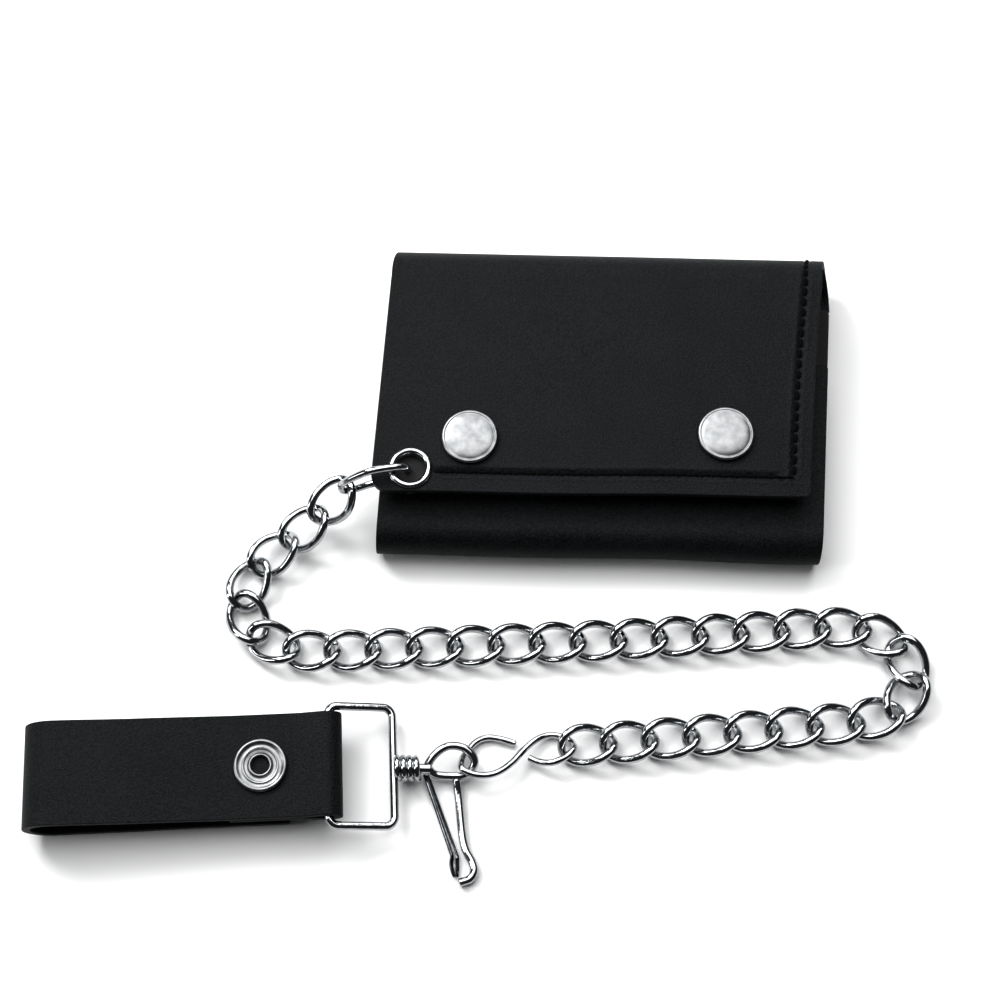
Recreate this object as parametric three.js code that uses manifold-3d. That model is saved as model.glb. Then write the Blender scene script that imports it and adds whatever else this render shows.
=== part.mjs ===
// Trifold chain wallet: a leather wallet with two snaps, a curb chain from an eyelet in its flap,
// an S-hook, a swivel with a wire clip, and a snap-shut belt strap.
//
// Millimetres. +X runs along the wallet's folds, +Y from its bottom fold to its top fold, +Z up.
// The origin is the middle of the wallet's back face, which lies on the table.

import * as THREE from 'three';
import { mergeVertices } from 'three/addons/utils/BufferGeometryUtils.js';
import Module from 'manifold-3d';

const wasm = await Module();
wasm.setup();

// ---------------------------------------------------------------- driving dimensions

const GAP = 0.3; // between pieces that touch
const LEATHER = 2.0; // outer leather
const LINING = 1.0; // inner ply
const POCKET = 0.8; // card pocket ply

// The body's sides: x at Y = 0, and how far x drifts per mm of Y.
const leftSide = { x: -56.25, lean: 0.035 };
const rightSide = { x: 56.4, lean: 0.055 };
const backOverhang = 1.4; // how much further right the back's plies reach than the lower panel

// The two folds are half rings around the hinge lines.
const topFold = { y: 34.6, z: 9.75 };
const bottomFold = { y: -31.2, z: 6.2 };

const flap = {
  left: [-56.0, -59.0], // x at the fold, x at the free edge
  right: [55.3, 50.6],
  edge: -24.2,
  bottom: 2 * topFold.z - LEATHER, // underside of the flap's leather
};
const spineInset = 0.5; // of a fold's ends from the panels' sides
const lowerPanel = { reach: 46, bottom: 2 * bottomFold.z - LEATHER }; // reach from the fold line
const panelLining = { inset: 0.4, drop: GAP + LINING }; // from a panel's edge, and below its leather

const snap = {
  left: [-34.5, -10.6],
  right: [29.7, -8.3],
  cap: 7.15, // radii from here on
  barrel: 1.8,
  socketBore: 3.0,
  knob: 1.95,
  shaft: 1.3,
};
const strapSnap = { rim: 6.55, groove: 3.9, hole: 2.1, shaft: 2.7 };
const eyelet = { at: [-49.1, -19.1], hole: 3.6, rim: 5.5, wall: 0.35 };

const link = { count: 32, halfLength: 6.5, halfWidth: 4.45, wire: 1.05, twist: 40 };
// The first link is longer, and stands on edge in the eyelet.
const connector = {
  halfLength: 8.6,
  halfWidth: 4.5,
  wire: 0.95,
  height: 18.2,
  outward: [-0.977, -0.211, 0],
  offset: 0.7, // from the eyelet's middle to the wire in it
  drop: 4.2,
};

// Where the chain lies: the line through the places where its links meet, from link 1 to the hook.
const chainRoute = [
  [-65.5, -22.3, 13.3],
  [-72.3, -28.5, 8.2],
  [-80.2, -34.4, 4.6],
  [-87.6, -40.4, 3.2],
  [-91.4, -49.3, 3.2],
  [-87.9, -58.2, 3.2],
  [-79.2, -62.2, 3.2],
  [-69.3, -62.3, 3.2],
  [-34.4, -60.2, 3.2],
  [6.3, -57.5, 3.2],
  [42.5, -54.5, 3.2],
  [62.6, -53.0, 3.2],
  [71.8, -55.1, 3.2],
  [78.1, -64.0, 3.2],
  [74.4, -73.4, 3.2],
  [65.0, -77.0, 3.2],
  [54.9, -78.2, 3.2],
  [17.5, -82.4, 3.2],
  [-8.6, -85.1, 3.2],
];
const chainRoll = { 2: -15, 3: -5 }; // degrees about the link's own length, where it isn't flat

// The S-hook's wire, from its open tip round the clip's eye, through the last link and back.
const hookWire = 0.85;
const hookRoute = [
  [-21.1, -84.3, 1.3],
  [-25.0, -83.2, 1.2],
  [-28.4, -82.9, 1.1],
  [-31.0, -84.0, 1.1],
  [-32.9, -86.2, 1.5],
  [-34.3, -89.0, 3.2],
  [-34.2, -91.6, 4.9],
  [-31.4, -92.9, 5.0],
  [-28.0, -93.0, 4.6],
  [-25.2, -92.0, 4.2],
  [-21.9, -89.4, 3.8],
  [-19.4, -86.4, 3.3],
  [-16.5, -83.6, 2.4],
  [-14.0, -82.2, 1.5],
  [-11.6, -81.9, 1.2],
  [-8.9, -82.6, 1.3],
  [-7.2, -84.2, 2.4],
  [-7.2, -86.2, 4.0],
  [-9.2, -88.2, 4.6],
  [-12.4, -89.4, 4.0],
  [-15.6, -89.0, 2.8],
  [-18.0, -87.9, 2.2],
];

const neck = { left: -50.4, right: -44.9, y: -91.7, z: 4.2, coilRadius: 2.45, wire: 0.85, turns: 3.5 };
const clip = {
  wire: 1.05,
  stem: { radius: 1.3, from: -49.6, to: -42.0 },
  eye: [
    [-42.6, -91.0, 4.0],
    [-40.7, -87.9, 4.6],
    [-37.4, -86.0, 4.8],
    [-33.3, -86.7, 4.5],
    [-31.2, -89.6, 3.6],
    [-33.2, -92.4, 2.4],
    [-37.2, -93.0, 2.3],
    [-41.2, -92.6, 3.0],
  ],
  leg: [
    [-35.6, -93.6, 2.3],
    [-35.0, -97.5, 1.6],
    [-33.5, -108.4, 1.4],
    [-32.6, -111.2, 1.4],
    [-31.2, -113.6, 1.4],
    [-30.6, -115.8, 1.4],
    [-31.5, -117.7, 1.4],
    [-33.5, -118.5, 1.4],
  ],
};
const lever = { root: [-42.1, -95.3], tip: [-35.5, -112.3], width: 1.5, bottom: 0.5, top: 2.0 };

const ring = { halfWidth: 8.2, halfLength: 14.7, wire: 1.05, cornerRadius: 2.4 };
// The strap's own X runs along it, from the ring's bar that it holds, and its Z is the height.
const strap = {
  at: [-66.6, -92.4],
  turn: 3.8, // degrees about Z
  halfWidth: 12.7,
  barHeight: 9.25,
  barHole: 1.5,
  loopX: -67, // middle of the loop's round end
  loopRadius: 7,
  bendX: -24, // where the top layer starts to rise, and where the folded end stops
  snapX: -16.1,
  tailX: -9.9,
  tailLift: 1.5, // the snap's cap holds the tail off the table
};

// ---------------------------------------------------------------- materials

const leather = new THREE.MeshStandardMaterial({ color: 0x14181a, roughness: 0.6, metalness: 0 });
const lining = new THREE.MeshStandardMaterial({ color: 0x1d2021, roughness: 0.85, metalness: 0 });
const nickel = new THREE.MeshStandardMaterial({ color: 0xd9dcde, roughness: 0.25, metalness: 1 });
const steel = new THREE.MeshStandardMaterial({ color: 0xcfd2d4, roughness: 0.2, metalness: 1 });

// ---------------------------------------------------------------- helpers

function closed(geometry) {
  const bare = new THREE.BufferGeometry();
  bare.setAttribute('position', geometry.getAttribute('position'));
  bare.setIndex(geometry.getIndex());
  return mergeVertices(bare, 1e-4);
}

function toManifold(geometry) {
  const merged = closed(geometry);
  return new wasm.Manifold(new wasm.Mesh({
    numProp: 3,
    vertProperties: new Float32Array(merged.getAttribute('position').array),
    triVerts: new Uint32Array(merged.getIndex().array),
  }));
}

function fromManifold(solid) {
  const mesh = solid.getMesh();
  const geometry = new THREE.BufferGeometry();
  geometry.setAttribute('position', new THREE.BufferAttribute(mesh.vertProperties, 3));
  geometry.setIndex(new THREE.BufferAttribute(mesh.triVerts, 1));
  return geometry;
}

function join(...geometries) {
  return fromManifold(geometries.map(toManifold).reduce((sum, next) => sum.add(next)));
}

function piece(name, geometry, material) {
  const mesh = new THREE.Mesh(closed(geometry), material);
  mesh.name = name;
  return mesh;
}

function vectors(points) {
  return points.map(([x, y, z]) => new THREE.Vector3(x, y, z));
}

// A flat plate of a given outline, standing from z = bottom.
function plate(outline, bottom, thickness) {
  const geometry = new THREE.ExtrudeGeometry(outline, {
    depth: thickness,
    bevelEnabled: false,
    curveSegments: 8,
  });
  return geometry.translate(0, 0, bottom);
}

// An outline through corners [x, y, radius], counter-clockwise, with each corner rounded.
function roundedOutline(corners) {
  const shape = new THREE.Shape();
  corners.forEach(([x, y, radius], index) => {
    const corner = new THREE.Vector2(x, y);
    const before = new THREE.Vector2(...corners.at(index - 1).slice(0, 2));
    const after = new THREE.Vector2(...corners[(index + 1) % corners.length].slice(0, 2));
    const enter = corner.clone().add(before.sub(corner).setLength(radius));
    const leave = corner.clone().add(after.sub(corner).setLength(radius));
    if (index === 0) {
      shape.moveTo(enter.x, enter.y);
    } else {
      shape.lineTo(enter.x, enter.y);
    }
    shape.quadraticCurveTo(x, y, leave.x, leave.y);
  });
  shape.closePath();
  return shape;
}

function addHole(outline, [x, y], radius) {
  const hole = new THREE.Path();
  hole.absarc(x, y, radius, 0, 2 * Math.PI, true);
  outline.holes.push(hole);
}

// A solid of revolution about Z. The profile is [radius, z], counter-clockwise, on or round the axis.
function turned(profile, segments, [x, y]) {
  const points = profile.map(([radius, z]) => new THREE.Vector2(radius, z));
  const geometry = new THREE.LatheGeometry(points, segments);
  return geometry.rotateX(Math.PI / 2).translate(x, y, 0);
}

// A round wire along an open path.
function wireAlong(route, radius, steps, sides) {
  const section = new THREE.Shape();
  for (let side = 0; side < sides; side += 1) {
    const angle = (2 * Math.PI * side) / sides;
    const point = [radius * Math.cos(angle), radius * Math.sin(angle)];
    if (side === 0) {
      section.moveTo(...point);
    } else {
      section.lineTo(...point);
    }
  }
  return new THREE.ExtrudeGeometry(section, { steps, extrudePath: route, curveSegments: 1 });
}

// ---------------------------------------------------------------- wallet body

function sideX(side, y) {
  return side.x + side.lean * y;
}

function bodyOutline(bottomY, topY, inset, radius, overhang = 0) {
  return roundedOutline([
    [sideX(leftSide, bottomY) + inset, bottomY, radius],
    [sideX(rightSide, bottomY) - inset + overhang, bottomY, radius],
    [sideX(rightSide, topY) - inset + overhang, topY, radius],
    [sideX(leftSide, topY) + inset, topY, radius],
  ]);
}

// A half ring of leather round a fold line; outward is the side of Y that it bulges to.
function spine(fold, outward, left, right) {
  const section = new THREE.Shape();
  const quarter = Math.PI / 2;
  section.absarc(0, 0, fold.z, -quarter, quarter, false);
  section.absarc(0, 0, fold.z - LEATHER, quarter, -quarter, true);
  section.closePath();
  const length = right - left;
  const strip = new THREE.ExtrudeGeometry(section, {
    depth: length,
    bevelEnabled: false,
    curveSegments: 9,
  });
  // the section's x becomes Y, its y becomes Z, and its depth becomes X
  const axes = [new THREE.Vector3(0, 1, 0), new THREE.Vector3(0, 0, 1), new THREE.Vector3(1, 0, 0)];
  strip.applyMatrix4(new THREE.Matrix4().makeBasis(...axes));
  strip.translate(-length / 2, 0, 0);
  if (outward < 0) {
    strip.rotateZ(Math.PI);
  }
  return strip.translate((left + right) / 2, fold.y, fold.z);
}

function walletBody() {
  const body = new THREE.Group();
  const bottomY = bottomFold.y + GAP;
  const topY = topFold.y - GAP;
  const back = bodyOutline(bottomY, topY, 0, 0.3, backOverhang);
  body.add(piece('back_panel', plate(back, 0, LEATHER), leather));
  const divider = bodyOutline(bottomY, topY, panelLining.inset, 0.3, backOverhang);
  body.add(piece('bill_divider', plate(divider, LEATHER + GAP, LINING), lining));
  const firstPocket = LEATHER + GAP + LINING + GAP;
  [12, 3].forEach((mouthY, index) => {
    const outline = bodyOutline(-30, mouthY, 4, 1, backOverhang);
    const bottom = firstPocket + index * (POCKET + GAP);
    body.add(piece(`card_pocket_${index + 1}`, plate(outline, bottom, POCKET), lining));
  });
  const topLeft = flap.left[0] + spineInset;
  const topRight = flap.right[0] + spineInset;
  body.add(piece('top_spine', spine(topFold, 1, topLeft, topRight), leather));
  const bottomLeft = sideX(leftSide, bottomFold.y) + spineInset;
  const bottomRight = sideX(rightSide, bottomFold.y) - spineInset;
  body.add(piece('bottom_spine', spine(bottomFold, -1, bottomLeft, bottomRight), leather));
  return body;
}

function lowerPanelPieces() {
  const panel = new THREE.Group();
  const startY = bottomFold.y + GAP;
  const endY = bottomFold.y + lowerPanel.reach;
  const outer = bodyOutline(startY, endY, 0, 1.5);
  const inner = bodyOutline(startY, endY - 1, panelLining.inset, 1.5);
  for (const outline of [outer, inner]) {
    addHole(outline, snap.left, snap.shaft + GAP);
    addHole(outline, snap.right, snap.shaft + GAP);
  }
  panel.add(piece('lower_panel', plate(outer, lowerPanel.bottom, LEATHER), leather));
  const liningBottom = lowerPanel.bottom - panelLining.drop;
  panel.add(piece('lower_panel_lining', plate(inner, liningBottom, LINING), lining));
  return panel;
}

// ---------------------------------------------------------------- flap and its eyelet

function flapOutline(inset) {
  const startY = topFold.y - GAP;
  return roundedOutline([
    [flap.left[1] + inset, flap.edge + inset, 4.5],
    [flap.right[1] - inset, flap.edge + 0.8 + inset, 1.5],
    [flap.right[0] - inset, startY, 0.3],
    [flap.left[0] + inset, startY, 0.3],
  ]);
}

function flapPieces() {
  const pieces = new THREE.Group();
  const outer = flapOutline(0);
  const inner = flapOutline(panelLining.inset);
  for (const outline of [outer, inner]) {
    addHole(outline, snap.left, snap.barrel + GAP);
    addHole(outline, snap.right, snap.barrel + GAP);
    addHole(outline, eyelet.at, eyelet.hole + eyelet.wall + GAP);
  }
  pieces.add(piece('flap', plate(outer, flap.bottom, LEATHER), leather));
  pieces.add(piece('flap_lining', plate(inner, flap.bottom - panelLining.drop, LINING), lining));
  return pieces;
}

function eyeletPieces() {
  const top = flap.bottom + LEATHER + GAP;
  const bottom = flap.bottom - panelLining.drop - GAP;
  const { hole, rim, wall } = eyelet;
  const pieces = new THREE.Group();
  pieces.add(piece('eyelet', turned([
    [hole, bottom - 0.2],
    [hole + wall, bottom - 0.2],
    [hole + wall, top],
    [rim, top],
    [rim - 0.5, top + 0.6],
    [hole + 0.5, top + 0.7],
    [hole, top + 0.2],
    [hole, bottom - 0.2],
  ], 20, eyelet.at), nickel));
  pieces.add(piece('eyelet_washer', turned([
    [hole + wall + GAP, bottom - 0.4],
    [rim - 0.2, bottom - 0.4],
    [rim - 0.2, bottom],
    [hole + wall + GAP, bottom],
    [hole + wall + GAP, bottom - 0.4],
  ], 20, eyelet.at), nickel));
  return pieces;
}

// ---------------------------------------------------------------- snaps of the wallet

// A domed cap, with the barrel that goes through the flap into the socket.
function snapCap(name, centre) {
  const face = flap.bottom + LEATHER + GAP;
  return piece(name, turned([
    [0, face - 4.2],
    [snap.barrel, face - 4.2],
    [snap.barrel, face],
    [snap.cap, face],
    [snap.cap, face + 0.6],
    [snap.cap * 0.8, face + 1.3],
    [0, face + 1.6],
  ], 24, centre), nickel);
}

function snapSocket(name, centre) {
  const top = flap.bottom - panelLining.drop - GAP;
  return piece(name, turned([
    [snap.socketBore, top - 2.5],
    [5.0, top - 2.5],
    [5.6, top],
    [snap.barrel + GAP, top],
    [snap.barrel + GAP, top - 1.0],
    [snap.socketBore, top - 1.3],
    [snap.socketBore, top - 2.5],
  ], 16, centre), nickel);
}

// A stud with the post that rivets it through the lower panel: a flange, a shaft, a base and a knob.
function snapStud(name, centre) {
  const flange = lowerPanel.bottom - panelLining.drop - GAP;
  const base = lowerPanel.bottom + LEATHER + GAP;
  return piece(name, turned([
    [0, flange - 0.6],
    [5.0, flange - 0.6],
    [5.0, flange],
    [snap.shaft, flange],
    [snap.shaft, base],
    [4.6, base],
    [4.6, base + 0.4],
    [snap.knob, base + 0.5],
    [snap.knob, base + 1.9],
    [0, base + 1.9],
  ], 16, centre), nickel);
}

// ---------------------------------------------------------------- chain

// The middle line of a curb link: an oval, twisted along its length so that the chain lies flat.
class CurbLine extends THREE.Curve {
  getPoint(t, target = new THREE.Vector3()) {
    const [along, across] = oval(t, 0.9, 0.8);
    const turn = -THREE.MathUtils.degToRad(link.twist) * along;
    const side = link.halfWidth * across;
    return target.set(link.halfLength * along, side * Math.cos(turn), side * Math.sin(turn));
  }
}

// The first link's middle line: it stands on edge and is bent down past the flap's edge.
class StandingLine extends THREE.Curve {
  getPoint(t, target = new THREE.Vector3()) {
    const [along, height] = oval(t, 0.7, 0.7);
    const bend = connector.drop * THREE.MathUtils.smoothstep(along, -0.1, 1.2);
    return target.set(connector.halfLength * along, 0, connector.halfWidth * height - bend);
  }
}

// A point on a unit oval. Powers under 1 square its ends and its sides.
function oval(t, endPower, sidePower) {
  const cosine = Math.cos(2 * Math.PI * t);
  const sine = Math.sin(2 * Math.PI * t);
  return [
    Math.sign(cosine) * Math.abs(cosine) ** endPower,
    Math.sign(sine) * Math.abs(sine) ** sidePower,
  ];
}

// Lays a link along a direction with its flat side up, and then rolls it about its length.
function lay(mesh, centre, direction, rollDegrees) {
  const along = direction.clone().normalize();
  const across = new THREE.Vector3(0, 0, 1).cross(along).normalize();
  const up = along.clone().cross(across);
  mesh.quaternion.setFromRotationMatrix(new THREE.Matrix4().makeBasis(along, across, up));
  mesh.rotateX(THREE.MathUtils.degToRad(rollDegrees));
  mesh.position.copy(centre);
}

function linkName(number) {
  return `link_${String(number).padStart(2, '0')}`;
}

function firstLink() {
  const line = new THREE.TubeGeometry(new StandingLine(), 20, connector.wire, 6, true);
  const mesh = piece(linkName(1), line, steel);
  const outward = new THREE.Vector3(...connector.outward).normalize();
  const centre = new THREE.Vector3(...eyelet.at, connector.height);
  centre.addScaledVector(outward, connector.halfLength + connector.offset);
  lay(mesh, centre, outward, 0);
  return mesh;
}

function chain() {
  const links = new THREE.Group();
  links.add(firstLink());
  const route = new THREE.CatmullRomCurve3(vectors(chainRoute), false, 'centripetal');
  route.arcLengthDivisions = 2000;
  const joints = route.getSpacedPoints(link.count - 1);
  for (let number = 2; number <= link.count; number += 1) {
    const [start, end] = joints.slice(number - 2, number);
    const tube = new THREE.TubeGeometry(new CurbLine(), 18, link.wire, 6, true);
    const mesh = piece(linkName(number), tube, steel);
    lay(mesh, start.clone().lerp(end, 0.5), end.clone().sub(start), chainRoll[number] ?? 0);
    links.add(mesh);
  }
  return links;
}

// ---------------------------------------------------------------- hook, clip and ring

function sHook() {
  const route = new THREE.CatmullRomCurve3(vectors(hookRoute), false, 'centripetal');
  return piece('s_hook', wireAlong(route, hookWire, 40, 6), steel);
}

// The wire that turns in the neck, opens into an eye and goes on as a leg with a round end.
function clipWire() {
  const eyeLine = new THREE.CatmullRomCurve3(vectors(clip.eye), true, 'centripetal');
  const eye = new THREE.TubeGeometry(eyeLine, 22, clip.wire, 6, true);
  const { radius, from, to } = clip.stem;
  const stem = new THREE.CylinderGeometry(radius, radius, to - from, 8);
  stem.rotateZ(Math.PI / 2);
  stem.translate((from + to) / 2, neck.y, neck.z);
  const legLine = new THREE.CatmullRomCurve3(vectors(clip.leg), false, 'centripetal');
  const leg = wireAlong(legLine, clip.wire, 20, 6);
  return piece('clip_wire', join(eye, stem, leg), steel);
}

// The flat spring leg beside the wire leg, with a spoon-shaped end.
function clipLever() {
  const [rootX, rootY] = lever.root;
  const [tipX, tipY] = lever.tip;
  const half = lever.width / 2;
  const outline = new THREE.Shape();
  outline.moveTo(rootX - half, rootY);
  outline.lineTo(tipX - half, tipY);
  outline.quadraticCurveTo(tipX - half - 0.7, tipY - 4.4, tipX - half + 0.5, tipY - 5.4);
  outline.lineTo(tipX + half, tipY - 5.1);
  outline.lineTo(tipX + half + 0.2, tipY);
  outline.lineTo(rootX + half, rootY);
  outline.closePath();
  return piece('clip_lever', plate(outline, lever.bottom, lever.top - lever.bottom), steel);
}

class Coil extends THREE.Curve {
  getPoint(t, target = new THREE.Vector3()) {
    const angle = 2 * Math.PI * neck.turns * t;
    return target.set(
      neck.left + (neck.right - neck.left) * t,
      neck.y + neck.coilRadius * Math.cos(angle),
      neck.z + neck.coilRadius * Math.sin(angle),
    );
  }
}

// The rectangular ring, whose wire ends are wound into the neck that the clip turns in.
function rectangularRing() {
  const corners = [[-1, -1], [1, -1], [1, 1], [-1, 1]];
  const outline = roundedOutline(
    corners.map(([x, y]) => [x * ring.halfWidth, y * ring.halfLength, ring.cornerRadius]),
  );
  const points = outline.getSpacedPoints(56).slice(0, -1);
  const line = new THREE.CatmullRomCurve3(
    points.map(({ x, y }) => new THREE.Vector3(x, y, 0)),
    true,
  );
  const loop = new THREE.TubeGeometry(line, 44, ring.wire, 6, true);
  const tilt = Math.asin((strap.barHeight - neck.z) / (2 * ring.halfWidth));
  loop.translate(ring.halfWidth, 0, 0);
  loop.rotateY(tilt);
  loop.rotateZ(THREE.MathUtils.degToRad(strap.turn));
  loop.translate(...strap.at, strap.barHeight);
  const coil = wireAlong(new Coil(), neck.wire, 34, 6);
  return piece('swivel_ring', join(loop, coil), steel);
}

// ---------------------------------------------------------------- belt strap

// Turns an outline in the strap's X and Z into a solid as wide as the strap.
function strapSolid(outline) {
  const geometry = new THREE.ExtrudeGeometry(outline, {
    depth: 2 * strap.halfWidth,
    bevelEnabled: false,
    curveSegments: 8,
  });
  return geometry.rotateX(Math.PI / 2).translate(0, strap.halfWidth, 0);
}

function withSnapHole(geometry, radius) {
  const drill = new THREE.CylinderGeometry(radius, radius, 30, 16);
  drill.rotateX(Math.PI / 2).translate(strap.snapX, 0, 0);
  return fromManifold(toManifold(geometry).subtract(toManifold(drill)));
}

// The top layer, which wraps the ring's bar at its right end and runs back under itself.
function strapTop() {
  const { barHeight, barHole, bendX, loopX, loopRadius } = strap;
  const outer = barHole + LEATHER;
  const topFace = barHeight + GAP / 2 + LEATHER;
  const lowFace = barHeight - GAP / 2 - LEATHER;
  const loopTop = 2 * loopRadius;
  const outline = new THREE.Shape();
  outline.moveTo(bendX, lowFace);
  outline.lineTo(-6, lowFace);
  outline.quadraticCurveTo(-3, barHeight - outer, 0, barHeight - outer);
  outline.absarc(0, barHeight, outer, -Math.PI / 2, Math.PI / 2, false);
  outline.quadraticCurveTo(-3, barHeight + outer, -6, topFace);
  outline.lineTo(bendX, topFace);
  outline.lineTo(loopX + GAP, loopTop);
  outline.lineTo(loopX + GAP, loopTop - LEATHER);
  outline.lineTo(bendX, topFace - LEATHER);
  outline.lineTo(-6, topFace - LEATHER);
  outline.quadraticCurveTo(-2.5, barHeight + barHole, 0, barHeight + barHole);
  outline.absarc(0, barHeight, barHole, Math.PI / 2, -Math.PI / 2, true);
  outline.quadraticCurveTo(-2.5, barHeight - barHole, -6, lowFace + LEATHER);
  outline.lineTo(bendX, lowFace + LEATHER);
  outline.closePath();
  return piece('strap_top', withSnapHole(strapSolid(outline), strapSnap.shaft + GAP), leather);
}

// The round end of the loop that goes over the belt's edge.
function strapLoop() {
  const { loopX, loopRadius } = strap;
  const outline = new THREE.Shape();
  outline.absarc(loopX, loopRadius, loopRadius, Math.PI / 2, 1.5 * Math.PI, false);
  outline.absarc(loopX, loopRadius, loopRadius - LEATHER, 1.5 * Math.PI, Math.PI / 2, true);
  outline.closePath();
  return piece('strap_loop', strapSolid(outline), leather);
}

function strapTail() {
  const { loopX, bendX, tailX, tailLift } = strap;
  const outline = new THREE.Shape();
  outline.moveTo(loopX + GAP, 0);
  outline.lineTo(bendX, tailLift);
  outline.lineTo(tailX, tailLift);
  outline.lineTo(tailX, tailLift + LEATHER);
  outline.lineTo(bendX, tailLift + LEATHER);
  outline.lineTo(loopX + GAP, LEATHER);
  outline.closePath();
  return piece('strap_tail', withSnapHole(strapSolid(outline), snap.barrel + GAP), leather);
}

// Riveted through both top layers: a ringed flange with an open middle, a shaft, a base and a knob.
function strapStud() {
  const top = strap.barHeight + GAP / 2 + LEATHER + GAP;
  const base = strap.barHeight - GAP / 2 - LEATHER - GAP;
  return piece('strap_stud', turned([
    [0, base - 2.6],
    [snap.knob, base - 2.6],
    [snap.knob, base - 0.6],
    [4.6, base - 0.5],
    [4.6, base],
    [strapSnap.shaft, base],
    [strapSnap.shaft, top],
    [strapSnap.rim, top],
    [strapSnap.rim - 0.4, top + 0.9],
    [strapSnap.rim - 1.8, top + 0.9],
    [strapSnap.groove, top + 0.3],
    [strapSnap.groove - 0.9, top + 0.3],
    [strapSnap.groove - 1.0, top + 0.9],
    [strapSnap.hole, top + 0.9],
    [strapSnap.hole, top - 2],
    [0, top - 2],
  ], 20, [strap.snapX, 0]), nickel);
}

function strapSocket() {
  const bottom = strap.tailLift + LEATHER + GAP;
  return piece('strap_socket', turned([
    [snap.socketBore, bottom],
    [5.6, bottom],
    [5.0, bottom + 2.1],
    [snap.socketBore, bottom + 2.1],
    [snap.socketBore, bottom],
  ], 16, [strap.snapX, 0]), nickel);
}

function strapCap() {
  const face = strap.tailLift - GAP;
  return piece('strap_cap', turned([
    [0, 0],
    [snap.cap * 0.8, 0],
    [snap.cap, 0.6],
    [snap.cap, face],
    [snap.barrel, face],
    [snap.barrel, face + LEATHER + 0.6],
    [0, face + LEATHER + 0.6],
  ], 24, [strap.snapX, 0]), nickel);
}

function beltStrap() {
  const group = new THREE.Group();
  group.add(strapTop(), strapLoop(), strapTail(), strapStud(), strapSocket(), strapCap());
  group.position.set(...strap.at, 0);
  group.rotation.z = THREE.MathUtils.degToRad(strap.turn);
  return group;
}

// ---------------------------------------------------------------- the whole object

const chainWallet = new THREE.Group();
chainWallet.add(walletBody(), lowerPanelPieces(), flapPieces(), eyeletPieces());
for (const side of ['left', 'right']) {
  chainWallet.add(snapCap(`snap_cap_${side}`, snap[side]));
  chainWallet.add(snapSocket(`snap_socket_${side}`, snap[side]));
  chainWallet.add(snapStud(`snap_stud_${side}`, snap[side]));
}
chainWallet.add(chain(), sHook(), clipWire(), clipLever(), rectangularRing(), beltStrap());

export default chainWallet;
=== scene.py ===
"""Chain wallet: a black leather wallet on a curb chain, with a swivel clip and a belt strap."""

from math import asin, atan2, cos, exp, hypot, pi, radians, sin, sqrt

import bpy
import numpy as np
from mathutils import Matrix, Vector, noise


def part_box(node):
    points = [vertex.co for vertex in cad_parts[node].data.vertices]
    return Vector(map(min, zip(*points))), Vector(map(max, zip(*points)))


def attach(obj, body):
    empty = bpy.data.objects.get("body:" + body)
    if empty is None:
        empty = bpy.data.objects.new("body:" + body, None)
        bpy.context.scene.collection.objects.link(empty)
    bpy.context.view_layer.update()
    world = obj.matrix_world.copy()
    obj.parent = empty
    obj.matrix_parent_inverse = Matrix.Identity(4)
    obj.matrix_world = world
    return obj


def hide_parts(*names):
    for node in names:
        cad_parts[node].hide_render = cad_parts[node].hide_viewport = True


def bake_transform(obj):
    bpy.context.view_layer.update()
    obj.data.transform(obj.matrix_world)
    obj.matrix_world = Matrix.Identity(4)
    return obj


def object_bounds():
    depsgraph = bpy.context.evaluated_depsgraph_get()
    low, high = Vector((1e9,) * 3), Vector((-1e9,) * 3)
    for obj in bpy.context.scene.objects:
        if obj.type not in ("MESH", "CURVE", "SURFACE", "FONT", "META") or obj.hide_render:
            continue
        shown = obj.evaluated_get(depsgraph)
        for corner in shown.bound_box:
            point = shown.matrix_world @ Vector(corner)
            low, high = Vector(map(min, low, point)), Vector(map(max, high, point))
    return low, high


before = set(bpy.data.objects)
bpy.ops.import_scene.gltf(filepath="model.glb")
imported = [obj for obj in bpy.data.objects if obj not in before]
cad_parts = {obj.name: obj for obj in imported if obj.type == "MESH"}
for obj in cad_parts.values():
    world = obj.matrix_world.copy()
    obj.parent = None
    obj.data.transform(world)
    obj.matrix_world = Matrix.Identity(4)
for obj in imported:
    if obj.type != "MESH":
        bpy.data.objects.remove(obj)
cad_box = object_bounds()

MM = 0.001

# ------------------------------------------------------------------ sizes, in millimetres

LEATHER = 2.0
LINING = 1.0
TOP_FOLD = {"y": 34.6, "z": 9.75}
FOLD_LENGTH = TOP_FOLD["z"] * pi
BOTTOM_FOLD = {"y": -31.2, "z": 6.2}
FLAP = {"left": (-56.0, -59.0), "right": (55.3, 50.6), "hollow": 1.8, "edge": -24.1, "top": 19.5}
BODY_LEFT = {"middle": -56.25, "lean": 0.035}
BODY_RIGHT = {"middle": 56.4, "lean": 0.055}
BACK_OVERHANG = 1.4  # how much further right the back's plies reach than the lower panel
LOWER_REACH = 46  # from the bottom fold to the lower panel's free edge
STITCH = 2.9  # from one stitch to the next
THREAD_SHARE = 0.86  # how much of that distance one stitch of thread spans
SEAM_INSET = 4.3  # from the flap's right edge
SEAM_RISE = 5.2  # from the flap's free edge
EYELET_BORE = 3.6
STRAP_AT = (-66.6, -92.4)
STRAP_TURN = radians(3.8)
STRAP_HALF_WIDTH = 12.7
BAR_HEIGHT = 9.25
ROUTE_STEPS = 14  # points of a smooth wire from one route point to the next

LINK_COUNT = 32
LINK = {"half_length": 6.5, "half_width": 4.45, "wire": 1.05, "twist": radians(40)}
FIRST_LINK = {"half_length": 8.6, "half_width": 4.5, "wire": 0.95, "height": 18.2, "drop": 4.2}

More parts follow.
